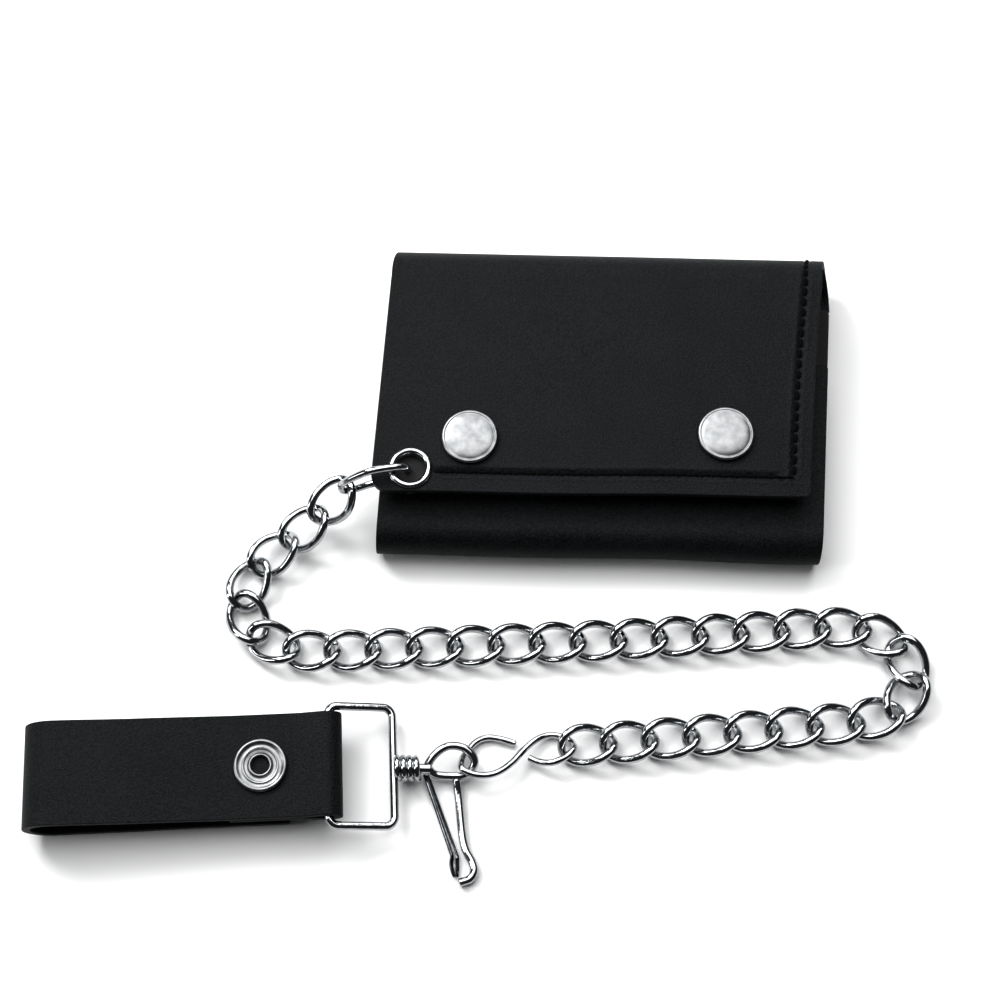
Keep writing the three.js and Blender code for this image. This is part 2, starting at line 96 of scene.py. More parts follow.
HOOK_WIRE = 0.85
HOOK_ROUTE = [
    (-21.1, -84.3, 1.3), (-25.0, -83.2, 1.2), (-28.4, -82.9, 1.1), (-31.0, -84.0, 1.1),
    (-32.9, -86.2, 1.5), (-34.3, -89.0, 3.2), (-34.2, -91.6, 4.9), (-31.4, -92.9, 5.0),
    (-28.0, -93.0, 4.6), (-25.2, -92.0, 4.2), (-21.9, -89.4, 3.8), (-19.4, -86.4, 3.3),
    (-16.5, -83.6, 2.4), (-14.0, -82.2, 1.5), (-11.6, -81.9, 1.2), (-8.9, -82.6, 1.3),
    (-7.2, -84.2, 2.4), (-7.2, -86.2, 4.0), (-9.2, -88.2, 4.6), (-12.4, -89.4, 4.0),
    (-15.6, -89.0, 2.8), (-18.0, -87.9, 2.2),
]
CLIP_WIRE = 1.05
STEM_RADIUS = 1.3
EYE_ROUTE = [
    (-42.6, -91.0, 4.0), (-40.7, -87.9, 4.6), (-37.4, -86.0, 4.8), (-33.3, -86.7, 4.5),
    (-31.2, -89.6, 3.6), (-33.2, -92.4, 2.4), (-37.2, -93.0, 2.3), (-41.2, -92.6, 3.0),
]
LEG_ROUTE = [
    (-35.6, -93.6, 2.3), (-35.0, -97.5, 1.6), (-33.5, -108.4, 1.4), (-32.6, -111.2, 1.4),
    (-31.2, -113.6, 1.4), (-30.6, -115.8, 1.4), (-31.5, -117.7, 1.4), (-34.2, -118.8, 1.4),
]
COIL_STEPS = 140
NECK = {"left": -50.4, "right": -44.9, "y": -91.7, "z": 4.2, "radius": 2.45, "wire": 0.85, "turns": 3.5}
RING = {"half_width": 8.2, "half_length": 14.7, "wire": 1.05, "corner": 2.4}
LEVER = {"root": (-43.1, -92.7), "tip": (-35.5, -112.3), "spoon": 5.1, "strip_share": 0.76}


# ------------------------------------------------------------------ shader helpers


class Value:
    """A number socket that Python's operators work on."""

    def __init__(self, shader, socket):
        self.shader, self.socket = shader, socket

    def _math(self, operation, first, second):
        return self.shader.add("ShaderNodeMath", {"operation": operation}, {0: first, 1: second})

    def __add__(self, other):
        return self._math("ADD", self, other)

    def __rsub__(self, other):
        return self._math("SUBTRACT", other, self)

    def __mul__(self, other):
        return self._math("MULTIPLY", self, other)

    __radd__ = __add__
    __rmul__ = __mul__


class Shader:
    """A material's node tree, with its Principled BSDF and its object coordinates at hand."""

    def __init__(self, name):
        self.material = bpy.data.materials.new(name)
        self.material.use_nodes = True
        self.tree = self.material.node_tree
        self.surface = self.tree.nodes["Principled BSDF"]
        self.place = self.add("ShaderNodeTexCoord", {}, {}, "Object")

    def add(self, kind, settings, inputs, output=0):
        node = self.tree.nodes.new(kind)
        for key, value in settings.items():
            if key == "stops":
                self._set_stops(node, value)
            else:
                setattr(node, key, value)
        for key, value in inputs.items():
            if isinstance(value, Value):
                self.tree.links.new(value.socket, node.inputs[key])
            else:
                node.inputs[key].default_value = value
        return Value(self, node.outputs[output])

    @staticmethod
    def _set_stops(node, stops):
        elements = node.color_ramp.elements
        while len(elements) < len(stops):
            elements.new(0.5)
        for element, (position, color) in zip(elements, stops):
            element.position, element.color = position, color

    def noise(self, scale, detail, vector=None):
        inputs = {"Vector": vector or self.place, "Scale": scale, "Detail": detail}
        return self.add("ShaderNodeTexNoise", {}, inputs)

    def cells(self, scale, feature="F1"):
        inputs = {"Vector": self.place, "Scale": scale}
        return self.add("ShaderNodeTexVoronoi", {"feature": feature}, inputs)

    def ramp(self, value, *stops):
        return self.add("ShaderNodeValToRGB", {"stops": stops}, {"Fac": value})

    def grey(self, value, low, high):
        inputs = {"Value": value, "To Min": low, "To Max": high}
        return self.add("ShaderNodeMapRange", {"clamp": True}, inputs)

    def stretched(self, scale):
        return self.add("ShaderNodeMapping", {}, {"Vector": self.place, "Scale": scale})

    def bump(self, height, distance, strength):
        inputs = {"Height": height, "Distance": distance, "Strength": strength}
        return self.add("ShaderNodeBump", {}, inputs)

    def finish(self, **inputs):
        for key, value in inputs.items():
            socket = self.surface.inputs[key.replace("_", " ").title().replace("Ior", "IOR")]
            if isinstance(value, Value):
                self.tree.links.new(value.socket, socket)
            else:
                socket.default_value = value
        return self.material


def grained_leather(name, dark, light):
    """Close-grained leather: fine specks, small pebbles with creases, and slow changes of tone."""
    shader = Shader(name)
    specks = shader.noise(2300, 3.0)
    pebbles = shader.cells(2600, "SMOOTH_F1")
    creases = shader.cells(1500, "DISTANCE_TO_EDGE")
    clouds = shader.noise(70, 3.0)
    tone = specks * 0.82 + clouds * 0.18
    colour = shader.ramp(tone, (0.42, (*dark, 1)), (0.62, (*light, 1)))
    shine = shader.grey(specks * 0.7 + clouds * 0.3, 0.38, 0.72)
    grain = (1 - pebbles) * 0.6 + creases * 0.8 + specks * 0.6
    normal = shader.bump(grain, 0.00016, 0.9)
    return shader.finish(base_color=colour, roughness=shine, normal=normal, specular_ior_level=0.16)


def split_leather(name):
    """The matt inner ply, with a felted surface."""
    shader = Shader(name)
    nap = shader.noise(5200, 4.0)
    colour = shader.ramp(nap, (0.3, (0.010, 0.010, 0.011, 1)), (0.75, (0.028, 0.028, 0.029, 1)))
    return shader.finish(base_color=colour, roughness=0.86, normal=shader.bump(nap, 0.00008, 0.6))


def clouded_nickel(name):
    """Plated sheet metal with a soft haze, small scratches and a few dull spots."""
    shader = Shader(name)
    haze = shader.noise(420, 4.0)
    scratches = shader.noise(1500, 2.0, shader.stretched((0.12, 3.0, 1.0)))
    spots = shader.cells(900)
    colour = shader.ramp(haze, (0.3, (0.18, 0.184, 0.188, 1)), (0.7, (0.30, 0.304, 0.308, 1)))
    shine = shader.grey(haze * 0.7 + scratches * 0.3, 0.22, 0.46)
    normal = shader.bump(scratches * 0.6 + spots * 0.2, 0.00002, 0.5)
    return shader.finish(base_color=colour, metallic=1.0, roughness=shine, normal=normal)


def bright_wire(name, dark, light):
    """Polished plated wire or strip, slightly uneven from being bent and tumbled."""
    shader = Shader(name)
    waves = shader.noise(700, 2.0)
    marks = shader.noise(4200, 3.0)
    colour = shader.ramp(waves, (0.3, (*dark, 1)), (0.7, (*light, 1)))
    shine = shader.grey(marks, 0.06, 0.2)
    normal = shader.bump(waves, 0.00012, 0.35)
    return shader.finish(base_color=colour, metallic=1.0, roughness=shine, normal=normal)


def waxed_thread(name):
    """Dull black thread, with strands along it."""
    shader = Shader(name)
    strands = shader.noise(3800, 2.0, shader.stretched((1.0, 1.0, 0.4)))
    colour = shader.ramp(strands, (0.35, (0.001, 0.001, 0.001, 1)), (0.7, (0.004, 0.004, 0.004, 1)))
    normal = shader.bump(strands, 0.0001, 0.6)
    return shader.finish(base_color=colour, roughness=0.85, normal=normal, specular_ior_level=0.1)


def pale_floor(name):
    """The table's nearly white, matt surface."""
    shader = Shader(name)
    grain = shader.noise(30, 2.0)
    colour = shader.ramp(grain, (0.2, (0.93, 0.93, 0.93, 1)), (0.8, (0.95, 0.95, 0.95, 1)))
    return shader.finish(base_color=colour, roughness=0.8)


leather = grained_leather("black_leather", (0.0008, 0.0012, 0.0015), (0.012, 0.015, 0.0175))
lining = split_leather("split_leather")
nickel = clouded_nickel("clouded_nickel")
wire_metal = bright_wire("bright_wire", (0.36, 0.37, 0.38), (0.50, 0.51, 0.52))
strip_metal = bright_wire("spring_strip", (0.07, 0.075, 0.08), (0.16, 0.165, 0.17))
thread = waxed_thread("waxed_thread")


# ------------------------------------------------------------------ modelling helpers


def deselect():
    """Leaves edit mode if need be, and selects nothing."""
    if bpy.context.mode != "OBJECT":
        bpy.ops.object.mode_set(mode="OBJECT")
    bpy.ops.object.select_all(action="DESELECT")


def choose(*pieces):
    """Selects the pieces, with the first of them active."""
    deselect()
    for piece in pieces:
        piece.select_set(True)
    bpy.context.view_layer.objects.active = pieces[0]


def apply_modifier(piece, kind, **settings):
    choose(piece)
    modifier = piece.modifiers.new(kind.title(), kind)
    for key, value in settings.items():
        setattr(modifier, key, value)
    bpy.ops.object.modifier_apply(modifier=modifier.name)


def finish_piece(piece, name, material, body, slot, *nodes, angle=35):
    """Names a piece, gives it its finish, and puts it on its body in place of its CAD nodes."""
    choose(piece)
    bpy.ops.object.shade_smooth_by_angle(angle=radians(angle))
    piece.name = name
    piece.data.name = name
    piece.data.materials.clear()
    piece.data.materials.append(material)
    if nodes:
        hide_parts(*nodes)
    if body:
        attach(piece, body)
    return piece


def centre_of(node):
    """The middle of a CAD node's box seen from above, in millimetres."""
    low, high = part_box(node)
    return (low[0] + high[0]) / 2 / MM, (low[1] + high[1]) / 2 / MM


def route_through(points, closed=False):
    """A smooth line through points: a centripetal Catmull-Rom curve."""
    points = [Vector(point) for point in points]
    if closed:
        points = [points[-1], *points, points[0], points[1]]
    else:
        points = [points[0] * 2 - points[1], *points, points[-1] * 2 - points[-2]]
    line = []
    for before, start, end, after in zip(points, points[1:], points[2:], points[3:]):
        spans = ((before, start), (start, end), (end, after))
        first, middle, last = (sqrt((b - a).length) for a, b in spans)
        leave = ((start - before) / first - (end - before) / (first + middle)) * middle + (end - start)
        arrive = (end - start) + ((after - end) / last - (after - start) / (middle + last)) * middle
        for step in range(ROUTE_STEPS):
            t = step / ROUTE_STEPS
            near, far = 2 * t**3 - 3 * t**2 + 1, 3 * t**2 - 2 * t**3
            bend = leave * (t**3 - 2 * t**2 + t) + arrive * (t**3 - t**2)
            line.append(start * near + end * far + bend)
    if not closed:
        line.append(points[-2])
    return line


def wire(points, radius, closed=False, sides=7, taper=False):
    """A round wire along points in millimetres, as a mesh."""
    curve = bpy.data.curves.new("wire", "CURVE")
    curve.dimensions = "3D"
    curve.bevel_depth = radius * MM
    curve.bevel_resolution = sides
    curve.use_fill_caps = not closed
    spline = curve.splines.new("POLY")
    spline.points.add(len(points) - 1)
    for place, point in zip(spline.points, points):
        place.co = (*(Vector(point) * MM), 1)
    if taper:
        for index, share in ((0, 0.55), (1, 0.9), (-1, 0.55), (-2, 0.9)):
            spline.points[index].radius = share
    spline.use_cyclic_u = closed
    piece = bpy.data.objects.new("wire", curve)
    bpy.context.collection.objects.link(piece)
    choose(piece)
    bpy.ops.object.convert(target="MESH")
    return bpy.context.object


def rounded_ends(points, radius):
    """Adds short steps at both ends of an open wire, so that its ends can be rounded off."""
    start, end = Vector(points[0]), Vector(points[-1])
    first = start.lerp(Vector(points[1]), min(0.4 * radius / (Vector(points[1]) - start).length, 0.5))
    last = end.lerp(Vector(points[-2]), min(0.4 * radius / (Vector(points[-2]) - end).length, 0.5))
    return [start, first, *points[1:-1], last, end]


def joined(*pieces):
    choose(*pieces)
    bpy.ops.object.join()
    return bpy.context.object


def turned(profile, centre, steps=72):
    """Spins a closed profile of (radius, height) about an upright axis through centre."""
    mesh = bpy.data.meshes.new("turned")
    x, y = centre[0] * MM, centre[1] * MM
    points = [(x + radius * MM, y, height * MM) for radius, height in profile]
    mesh.from_pydata(points, [(i, i + 1) for i in range(len(points) - 1)], [])
    piece = bpy.data.objects.new("turned", mesh)
    bpy.context.collection.objects.link(piece)
    choose(piece)
    bpy.ops.object.mode_set(mode="EDIT")
    bpy.ops.mesh.select_all(action="SELECT")
    bpy.ops.mesh.spin(steps=steps, angle=2 * pi, center=(x, y, 0), axis=(0, 0, 1))
    bpy.ops.mesh.select_all(action="SELECT")
    bpy.ops.mesh.remove_doubles(threshold=0.000004)
    bpy.ops.mesh.normals_make_consistent(inside=False)
    bpy.ops.object.mode_set(mode="OBJECT")
    return piece


def arc(centre, radius, start, end, steps):
    """Points of an arc in a profile, with angles in degrees."""
    angles = [radians(start + (end - start) * step / steps) for step in range(steps + 1)]
    return [(centre[0] + radius * cos(a), centre[1] + radius * sin(a)) for a in angles]


def turn_faces(piece, operator, **settings):
    """Runs an edit-mode operator on all of a piece."""
    choose(piece)
    bpy.ops.object.mode_set(mode="EDIT")
    bpy.ops.mesh.select_all(action="SELECT")
    operator(**settings)
    bpy.ops.object.mode_set(mode="OBJECT")


def sheet(columns, rows, place):
    """A grid with columns of u and rows of v, laid by place(u, v) in millimetres."""
    deselect()
    bpy.ops.mesh.primitive_grid_add(x_subdivisions=len(columns) - 1, y_subdivisions=len(rows) - 1, size=2)
    piece = bpy.context.object
    for vertex in piece.data.vertices:
        u = columns[round((vertex.co.x + 1) / 2 * (len(columns) - 1))]
        v = rows[round((vertex.co.y + 1) / 2 * (len(rows) - 1))]
        vertex.co = Vector(place(u, v)) * MM
    return piece


def spaced(start, end, count):
    """Even steps from start, without end itself."""
    return [start + (end - start) * step / count for step in range(count)]


def thicken(piece, thickness, edge, offset=-1.0):
    """Gives a sheet its thickness, against its normals unless offset says otherwise, and soft edges."""
    apply_modifier(piece, "SOLIDIFY", thickness=thickness * MM, offset=offset, use_even_offset=True)
    apply_modifier(piece, "BEVEL", width=edge * MM, segments=3, limit_method="ANGLE", angle_limit=radians(50))


def cut_round(piece, centre, radius, low, high):
    """Cuts a round hole straight through a piece."""
    deselect()
    middle = (centre[0] * MM, centre[1] * MM, (low + high) / 2 * MM)
    depth = (high - low) * MM
    bpy.ops.mesh.primitive_cylinder_add(vertices=64, radius=radius * MM, depth=depth, location=middle)
    drill = bpy.context.object
    apply_modifier(piece, "BOOLEAN", operation="DIFFERENCE", object=drill, solver="EXACT")
    bpy.data.objects.remove(drill)


def unevenness(x, y, seed, size=34.0, height=0.16):
    """How far hand-worked leather stands off its true surface, in millimetres."""
    return noise.noise(Vector((x / size, y / size, seed))) * height


# ------------------------------------------------------------------ the flap and its stitching


def flap_sides(y):
    """The flap's left and right edges, the right one a little hollow."""
    share = (TOP_FOLD["y"] - y) / (TOP_FOLD["y"] - FLAP["edge"])
    inside = min(max(share, 0.0), 1.0)
    left, right = (near + (far - near) * share for near, far in (FLAP["left"], FLAP["right"]))
    return left, right - FLAP["hollow"] * inside * (1 - inside)


def body_sides(y, overhang=0.0):
    """The body's left and right edges, which lean, with the right one let out by overhang."""
    left = BODY_LEFT["middle"] + BODY_LEFT["lean"] * y
    right = BODY_RIGHT["middle"] + BODY_RIGHT["lean"] * y + overhang
    return left, right


def round_corner(distance, radius):
    """How far a side steps in at a distance from the end, for a corner of that radius."""
    if distance >= radius:
        return 0.0
    return radius - sqrt(max(radius**2 - (radius - distance) ** 2, 0.0))


def flap_edges(run):
    """The leather's left and right edges where it has run that far from the fold's top."""
    if run <= 0:
        return flap_sides(TOP_FOLD["y"] + run)
    share = (1 - cos(run / TOP_FOLD["z"])) / 2
    back = body_sides(TOP_FOLD["y"], BACK_OVERHANG)
    front = flap_sides(TOP_FOLD["y"])
    left, right = (near + (far - near) * share for near, far in zip(front, back))
    return left + 1.2 * sin(pi * share), right


def on_flap(x, run, lift=0.0):
    """A point of the outer face: run is minus towards the free edge, and plus round the fold."""
    rise = unevenness(x, run, 3.0) + lift
    if run <= 0:
        return x, TOP_FOLD["y"] + run, FLAP["top"] + rise
    angle = pi / 2 - run / TOP_FOLD["z"]
    radius = TOP_FOLD["z"] + rise * max(sin(angle), 0.0)
    return x, TOP_FOLD["y"] + radius * cos(angle), TOP_FOLD["z"] + radius * sin(angle)


def free_edge(x):
    """How far the leather has run where it ends, along its slightly wavy free edge."""
    return FLAP["edge"] - TOP_FOLD["y"] + 0.0095 * (x - 50) + 0.12 * sin(x / 9)


CORNER = (FLAP["right"][1] - SEAM_INSET - 0.3, FLAP["edge"] - TOP_FOLD["y"] + SEAM_RISE)
SEAM_END = -43.2  # the bottom row of stitches stops short of the eyelet


def seam_depth(x, run):
    """How deep the stitching presses the leather in: a channel, with a pucker at each stitch."""
    from_right = flap_edges(run)[1] - SEAM_INSET - x
    from_bottom = run - free_edge(x) - SEAM_RISE
    if from_bottom > 0 and abs(from_right) < 4:
        distance, along = from_right, run
    elif SEAM_END < x < CORNER[0] + 0.6 and abs(from_bottom) < 4:
        distance, along = from_bottom, x
    else:
        return 0.0
    wave = cos(2 * pi * along / STITCH)
    pucker, distance = 0.75 + 0.25 * wave, distance + 0.2 * wave
    lip = exp(-(((abs(distance) - 1.5) / 0.6) ** 2)) * 0.10
    return exp(-((distance / 0.8) ** 2)) * 0.7 * pucker - lip


def stitch_row(places):
    """Short thread stitches, each given by its two ends as (x, run), sinking into its holes."""
    row = []
    for start, end in places:
        points = []
        for step in range(-3, 4):
            share = 0.5 + step / 6
            x, run = (a + (b - a) * share for a, b in zip(start, end))
            points.append(on_flap(x, run, -0.42 - 0.6 * abs(step / 3) ** 3))
        row.append(wire(rounded_ends(points, 0.5), 0.54, sides=2, taper=True))
    return row


def flap_stitches():
    """The rows down the flap's right side and along its free edge."""
    places = []
    run = FOLD_LENGTH - 3
    while run > CORNER[1] + 1:
        low = run - STITCH * THREAD_SHARE
        places.append([(flap_edges(at)[1] - SEAM_INSET, at) for at in (run, low)])
        run -= STITCH
    down = stitch_row(places)
    x, places = CORNER[0], []
    while x > SEAM_END + 2:
        places.append([(at, free_edge(at) + SEAM_RISE) for at in (x, x - STITCH * THREAD_SHARE)])
        x -= STITCH
    seam = finish_piece(joined(*down, *stitch_row(places)), "flap_stitches", thread, None, "lining", angle=60)
    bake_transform(seam)


def flap_leather():
    """The flap and the top fold in one leather, with finer rows and columns where the seam runs."""
    rows = [FOLD_LENGTH * (1 - step / 28) for step in range(28)]
    length = FLAP["edge"] - TOP_FOLD["y"]
    shares = spaced(0.0, 0.86, 88) + spaced(0.86, 0.96, 24) + spaced(0.96, 1.0, 9) + [1.0]
    rows += [length * share for share in shares]
    columns = spaced(0.0, 0.93, 120) + spaced(0.93, 0.98, 24) + [0.98, 0.987, 0.994, 1.0]

    def place(u, run):
        left, right = flap_edges(run)
        if run <= 0:
            to_edge = run - length
            left += round_corner(to_edge, 4.5)
            right -= round_corner(to_edge, 1.5)
            x = left + (right - left) * u
            run = run * free_edge(x) / length
        else:
            x = left + (right - left) * u
        return on_flap(x, run, -seam_depth(x, run))

    piece = sheet(columns, rows, place)
    turn_faces(piece, bpy.ops.mesh.flip_normals)
    thicken(piece, LEATHER, 0.55)
    cut_round(piece, centre_of("eyelet"), EYELET_BORE + 0.37, 15, 22)
    finish_piece(piece, "flap_leather", leather, None, "leather", "flap", "top_spine")
    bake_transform(piece)


# ------------------------------------------------------------------ the wallet's other plies


def lower_leather():
    """The lower panel and the bottom fold in one leather."""
    fold_y, fold_z = BOTTOM_FOLD["y"], BOTTOM_FOLD["z"]
    rows = [("ring", angle) for angle in spaced(-90, 90, 22)]
    rows += [("flat", share) for share in spaced(0.0, 0.96, 30) + [0.96, 0.975, 0.985, 0.993, 1.0]]
    columns = [0.0, 0.006] + spaced(0.012, 0.988, 60) + [0.988, 0.994, 1.0]

    def place(u, row):
        kind, value = row
        if kind == "ring":
            angle = radians(value)
            y = fold_y - fold_z * cos(angle)
            left, right = body_sides(y)
            x = left + (right - left) * u
            bulge = (0.3 - 0.45 * cos(2 * pi * (u - 0.9) / 0.62) * u) * cos(angle)
            return x, y + bulge, fold_z + fold_z * sin(angle) + unevenness(x, y, 8.0) * max(sin(angle), 0)
        y = fold_y + LOWER_REACH * value
        left, right = body_sides(y)
        inset = round_corner(fold_y + LOWER_REACH - y, 1.5)
        x = left + inset + (right - left - 2 * inset) * u
        return x, y, 12.4 + unevenness(x, y, 8.0, 26.0, 0.22)

    piece = sheet(columns, rows, place)
    thicken(piece, LEATHER, 0.5)
    finish_piece(piece, "lower_leather", leather, None, "leather", "lower_panel", "bottom_spine")
    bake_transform(piece)


def flat_ply(name, node, thickness, material, body, slot,
             sides, low_y, high_y, top, seed, corner, notch=0.0):
    """A flat ply with rounded edges, from low_y to high_y, its upper face at top.

    The corners' radius is corner, and notch is how far its upper edge dips in the middle.
    """
    rows = [0.0, 0.012, 0.03] + spaced(0.06, 0.94, 24) + [0.94, 0.97, 0.988, 1.0]
    columns = [0.0, 0.006, 0.014] + spaced(0.03, 0.97, 44) + [0.97, 0.986, 0.994, 1.0]

    def place(u, v):
        y = low_y + (high_y - low_y) * v
        left, right = sides(y)
        inset = round_corner(high_y - y, corner) + round_corner(y - low_y, corner)
        x = left + inset + (right - left - 2 * inset) * u
        dip = notch * exp(-((x / 11.0) ** 4)) * v**3
        return x, y - dip, top + unevenness(x, y, seed, 30.0, 0.07)

    piece = sheet(columns, rows, place)
    thicken(piece, thickness, min(0.3 * thickness, 0.5))
    finish_piece(piece, name, material, body, slot, node)


def narrower(inset, overhang=0.0):
    """The body's sides, each drawn in by inset, and the right one let out by overhang."""
    return lambda y: (body_sides(y)[0] + inset, body_sides(y)[1] - inset + overhang)


def wallet_plies():
    """The back's leather and linings, and the lower panel's lining."""
    low, high = BOTTOM_FOLD["y"] + 0.3, TOP_FOLD["y"] - 0.15
    flat_ply("back_leather", "back_panel", LEATHER, leather, "wallet", "leather",
             narrower(0.0, BACK_OVERHANG), low, high, 2.0, 1.0, 0.3)
    flat_ply("divider_ply", "bill_divider", LINING, lining, "wallet", "lining",
             narrower(0.4, BACK_OVERHANG), low, high, 3.25, 2.0, 0.6)
    for number, mouth in ((1, 12.0), (2, 3.0)):
        top = 4.35 + 1.1 * (number - 1)
        flat_ply(f"pocket_ply_{number}", f"card_pocket_{number}", 0.75, lining, "wallet", "lining",
                 narrower(4.0, BACK_OVERHANG), -30.0, mouth, top, 4.0 + number, 1.0, notch=4.0)
    flat_ply("lower_ply", "lower_panel_lining", LINING, lining, "lower_panel", "lining",
             narrower(0.4), low, BOTTOM_FOLD["y"] + LOWER_REACH - 1, 10.05, 6.0, 1.5)


def flap_ply():
    """The flap's lining, a little inside its leather."""
    rows = spaced(0.0, 0.9, 26) + spaced(0.9, 1.0, 12) + [1.0]
    columns = [0.0, 0.006, 0.014] + spaced(0.03, 0.97, 44) + [0.97, 0.986, 0.994, 1.0]

    def place(u, v):
        end = FLAP["edge"] + 0.45 - 0.8 * (1 - u)
        y = TOP_FOLD["y"] - 0.3 + (end - TOP_FOLD["y"] + 0.3) * v
        left, right = flap_sides(y)
        left += 0.4 + round_corner(y - end, 4.3)
        right -= 0.4 + round_corner(y - end, 1.4)
        return left + (right - left) * u, y, 17.12

    piece = sheet(columns, rows, place)
    thicken(piece, LINING, 0.3)
    cut_round(piece, centre_of("eyelet"), EYELET_BORE + 0.65, 15, 18)
    finish_piece(piece, "flap_ply", lining, "flap", "lining", "flap_lining")


# ------------------------------------------------------------------ turned metal


def snap_cap_profile(face):
    """A pressed cap: a low crown that meets its rolled rim in a shallow valley."""
    crown = [(0.0, 1.60), (1.6, 1.585), (3.2, 1.53), (4.6, 1.42), (5.5, 1.27), (5.95, 1.13)]
    valley = [(6.12, 1.07), (6.28, 1.07)]
    rim = arc((6.55, 0.62), 0.58, 105, -55, 9)
    shank = [(6.5, 0.0), (1.8, 0.0), (1.8, -4.1), (0.0, -4.2)]
    return [(radius, face + height) for radius, height in crown + valley + rim + shank]


def snap_caps():
    """The two caps on the flap."""
    for side in ("left", "right"):
        node = f"snap_cap_{side}"
        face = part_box(node)[1][2] / MM - 1.6
        cap = turned(snap_cap_profile(face), centre_of(node))
        finish_piece(cap, f"{node}_metal", nickel, "flap", "nickel", node)


def snap_sockets():
    """The halves under the flap that the studs press into."""
    for side in ("left", "right"):
        node = f"snap_socket_{side}"
        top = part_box(node)[1][2] / MM
        profile = [(3.0, -2.5), (4.6, -2.5), (5.0, -2.3), (5.15, -1.2), (5.5, -0.4), (5.6, -0.1),
                   (5.4, 0), (2.1, 0), (2.1, -1.0), (2.9, -1.2), (3.0, -2.5)]
        socket = turned([(radius, top + height) for radius, height in profile], centre_of(node))
        finish_piece(socket, f"{node}_metal", nickel, "flap", "nickel", node)


def snap_studs():
    """The studs on the lower panel, with the heads of their posts beneath it."""
    for side in ("left", "right"):
        node = f"snap_stud_{side}"
        low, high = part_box(node)
        low, base = low[2] / MM, high[2] / MM - 1.9
        post = [(0, 0), (4.7, 0), (5.0, 0.3), (4.8, 0.6), (1.3, 0.6)]
        knob = [(1.3, 0), (4.4, 0), (4.6, 0.15), (4.4, 0.4), (2.2, 0.45), (1.75, 0.6), (1.7, 1.0),
                (1.95, 1.35), (1.85, 1.7), (1.4, 1.9), (0, 1.9)]
        profile = [(radius, low + height) for radius, height in post]
        profile += [(radius, base + height) for radius, height in knob]
        stud = turned(profile, centre_of(node))
        finish_piece(stud, f"{node}_metal", nickel, "lower_panel", "nickel", node)


def eyelet():
    """The rolled eyelet in the flap's corner, and the washer behind it."""
    low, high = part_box("eyelet")
    low, top = low[2] / MM, high[2] / MM - 0.7
    roll = arc((4.62, top - 0.12), 0.82, 165, 20, 9)
    profile = [(EYELET_BORE, low), (3.95, low), (3.95, top), (5.35, top), (5.5, top + 0.08)]
    profile += [*reversed(roll), (3.66, top - 0.1), (EYELET_BORE, top - 0.5), (EYELET_BORE, low)]
    tube = turned(profile, centre_of("eyelet"), 96)
    finish_piece(tube, "eyelet_metal", wire_metal, "flap", "nickel", "eyelet")
    low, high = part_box("eyelet_washer")
    low, high = low[2] / MM, high[2] / MM
    profile = [(4.25, low + 0.05), (4.35, low), (5.1, low), (5.3, low + 0.15)]
    profile += [(5.2, high), (4.25, high), (4.25, low + 0.05)]
    washer = turned(profile, centre_of("eyelet_washer"), 96)
    finish_piece(washer, "eyelet_washer_metal", nickel, "flap", "nickel", "eyelet_washer")


def strap_snap():
    """The strap's ringed face with its stud below, and the socket and cap on the tail."""
    low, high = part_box("strap_stud")
    low, face = low[2] / MM, high[2] / MM - 0.9
    centre = centre_of("strap_stud")
    stud = [(0, 0), (1.4, 0), (1.9, 0.3), (1.95, 0.8), (1.75, 1.4), (1.9, 2.0),
            (4.4, 2.1), (4.6, 2.3), (4.6, 2.6), (2.7, 2.6)]
    rings = [(2.7, 0), (6.4, 0), *arc((5.95, 0.4), 0.58, -20, 130, 8),
             (5.2, 0.6), (4.7, 0.52), (4.35, 0.68), (4.05, 0.62), (3.85, 0.2), (3.2, 0.12),
             (2.95, 0.35), *arc((2.55, 0.55), 0.36, 20, 160, 6), (2.1, 0.2), (2.1, -1.9), (0, -2.0)]
    profile = [(radius, low + height) for radius, height in stud]
    profile += [(radius, face + height) for radius, height in rings]
    finish_piece(turned(profile, centre, 96), "strap_stud_metal", nickel, "strap", "nickel", "strap_stud")
    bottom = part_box("strap_socket")[0][2] / MM
    profile = [(3.0, 0), (5.4, 0), (5.6, 0.2), (5.2, 0.9), (5.0, 1.8), (4.7, 2.1), (3.0, 2.1), (3.0, 0)]
    socket = turned([(radius, bottom + height) for radius, height in profile], centre)
    finish_piece(socket, "strap_socket_metal", nickel, "strap_tail", "nickel", "strap_socket")
    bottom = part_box("strap_cap")[0][2] / MM
    profile = [(0, 0.0), (4.4, 0.05), (5.6, 0.22), (5.9, 0.14), (6.3, 0.1),
               *arc((6.6, 0.62), 0.54, -90, 80, 7), (6.5, 1.2), (1.8, 1.2), (1.8, 3.75), (0, 3.8)]
    cap = turned([(radius, bottom + height) for radius, height in profile], centre)
    finish_piece(cap, "strap_cap_metal", nickel, "strap_tail", "nickel", "strap_cap")


# ------------------------------------------------------------------ chain


def oval(t, end_power, side_power):
    """A point on a unit oval. Powers under 1 square its ends and its sides."""
    cosine, sine = cos(2 * pi * t), sin(2 * pi * t)
    along = abs(cosine) ** end_power * (1 if cosine >= 0 else -1)
    across = abs(sine) ** side_power * (1 if sine >= 0 else -1)
    return along, across


def curb_line(t):
    """The middle line of a curb link, twisted along its length so that the chain lies flat."""
    along, across = oval(t, 0.9, 0.8)
    turn = -LINK["twist"] * along
    side = LINK["half_width"] * across
    return Vector((LINK["half_length"] * along, side * cos(turn), side * sin(turn)))


